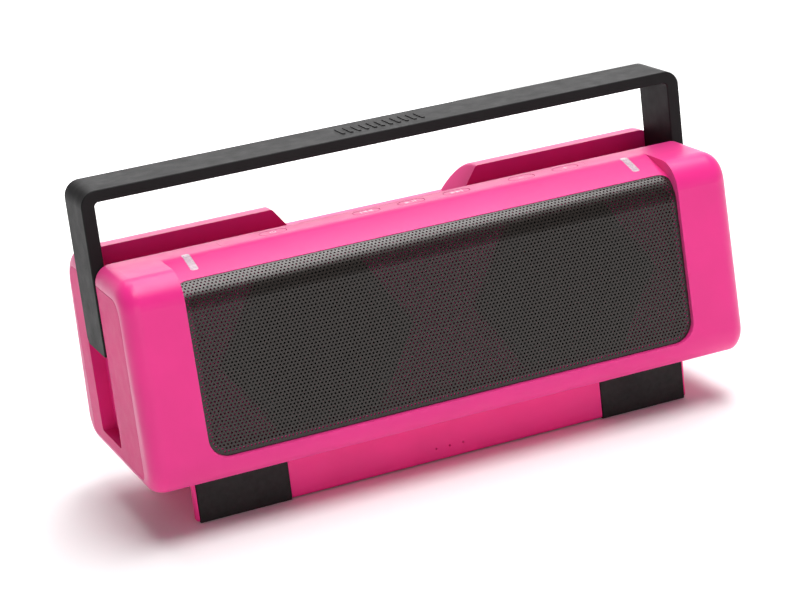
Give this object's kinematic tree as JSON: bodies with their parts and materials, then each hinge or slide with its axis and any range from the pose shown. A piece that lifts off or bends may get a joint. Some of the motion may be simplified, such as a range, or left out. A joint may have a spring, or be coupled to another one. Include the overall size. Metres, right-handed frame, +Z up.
{
  "type": "portable speaker",
  "caption": "Wide portable speaker with a perforated front grille, top keys, a plinth with rubber pads and a strap handle that slides down into a channel in the top.",
  "frame": {"origin": "on the standing surface, below the middle of the body", "axes": "+X to the right along the long side, -Y towards the front with the grille, +Z up"},
  "size_m": [0.3, 0.1104, 0.1557],
  "materials": {
    "body_pink": "smooth moulded ABS, soft satin",
    "panel_pink": "moulded ABS, fine matt texture",
    "plinth_pink": "moulded ABS, fine matt texture",
    "strip_pink": "printed overlay and caps, slightly shiny",
    "handle_black": "satin black moulding",
    "grille_steel": "perforated sheet, dark metallic paint",
    "rubber_black": "moulded rubber",
    "nylon_black": "black nylon",
    "steel_screw": "zinc plated",
    "frame_black": "black moulded frame",
    "cone_paper": "pressed black paper",
    "spider_cloth": "impregnated cloth",
    "coil_copper": "enamelled copper wire",
    "motor_steel": "zinc plated steel",
    "magnet_ferrite": "sintered ferrite",
    "lens_white": "milky clear lens",
    "board_green": "glass fibre board, solder mask",
    "battery_wrap": "shrink wrap over cells",
    "capacitor_can": "aluminium can",
    "sink_aluminium": "extruded, plain"
  },
  "bodies": {
    "body": {"aux_socket": "nylon_black", "base_plinth": "plinth_pink", "battery_pack": "battery_wrap", "board_capacitors": "capacitor_can", "case_screws": "steel_screw", "control_strip": "strip_pink", "driver_frame_left": "frame_black", "driver_frame_right": "frame_black", "driver_gasket_left": "rubber_black", "driver_gasket_right": "rubber_black", "driver_screws": "steel_screw", "foot_pad_left": "rubber_black", "foot_pad_right": "rubber_black", "front_shell": "body_pink", "grille": "grille_steel", "heat_sink": "sink_aluminium", "key_board": "board_green", "key_board_screws": "steel_screw", "level_light_board": "board_green", "light_pipe_left": "lens_white", "light_pipe_right": "lens_white", "magnet_left": "magnet_ferrite", "magnet_right": "magnet_ferrite", "main_board": "board_green", "main_board_screws": "steel_screw", "plinth_screws": "steel_screw", "pole_piece_left": "motor_steel", "pole_piece_right": "motor_steel", "power_socket": "nylon_black", "rear_shell": "body_pink", "side_panel_left": "panel_pink", "side_panel_right": "panel_pink", "socket_board": "board_green", "socket_plate": "nylon_black", "spider_left": "spider_cloth", "spider_right": "spider_cloth", "status_leds": "lens_white", "surround_left": "rubber_black", "surround_right": "rubber_black", "tact_switches": "nylon_black", "top_plate_left": "motor_steel", "top_plate_right": "motor_steel"},
    "handle": {"carry_handle": "handle_black", "handle_slider_left": "nylon_black", "handle_slider_right": "nylon_black", "brake_pads": "rubber_black", "handle_screws": "steel_screw"},
    "key_power_body": {"key_power": "strip_pink"},
    "key_previous_body": {"key_previous": "strip_pink"},
    "key_play_body": {"key_play": "strip_pink"},
    "key_next_body": {"key_next": "strip_pink"},
    "key_volume_down_body": {"key_volume_down": "strip_pink"},
    "key_volume_up_body": {"key_volume_up": "strip_pink"},
    "cone_left_body": {"cone_left": "cone_paper", "dust_cap_left": "cone_paper", "voice_coil_left": "coil_copper"},
    "cone_right_body": {"cone_right": "cone_paper", "dust_cap_right": "cone_paper", "voice_coil_right": "coil_copper"}
  },
  "joints": [
    {"name": "handle_slide", "type": "slide", "parent": "body", "child": "handle", "axis": [0, 0, 1], "range_m": [-0.042, 0]},
    {"name": "key_power_press", "type": "slide", "parent": "body", "child": "key_power_body", "axis": [0, 0, -1], "range_m": [0, 0.0004], "stiffness_N_per_m": 3000},
    {"name": "key_previous_press", "type": "slide", "parent": "body", "child": "key_previous_body", "axis": [0, 0, -1], "range_m": [0, 0.0004], "stiffness_N_per_m": 3000},
    {"name": "key_play_press", "type": "slide", "parent": "body", "child": "key_play_body", "axis": [0, 0, -1], "range_m": [0, 0.0004], "stiffness_N_per_m": 3000},
    {"name": "key_next_press", "type": "slide", "parent": "body", "child": "key_next_body", "axis": [0, 0, -1], "range_m": [0, 0.0004], "stiffness_N_per_m": 3000},
    {"name": "key_volume_down_press", "type": "slide", "parent": "body", "child": "key_volume_down_body", "axis": [0, 0, -1], "range_m": [0, 0.0004], "stiffness_N_per_m": 3000},
    {"name": "key_volume_up_press", "type": "slide", "parent": "body", "child": "key_volume_up_body", "axis": [0, 0, -1], "range_m": [0, 0.0004], "stiffness_N_per_m": 3000},
    {"name": "cone_left_travel", "type": "slide", "parent": "body", "child": "cone_left_body", "axis": [0, -0.9974, 0.0715], "range_m": [-0.0015, 0.0015], "stiffness_N_per_m": 1000, "deforming": ["surround_left", "spider_left"]},
    {"name": "cone_right_travel", "type": "slide", "parent": "body", "child": "cone_right_body", "axis": [0, -0.9974, 0.0715], "range_m": [-0.0015, 0.0015], "stiffness_N_per_m": 1000, "deforming": ["surround_right", "spider_right"]}
  ]
}
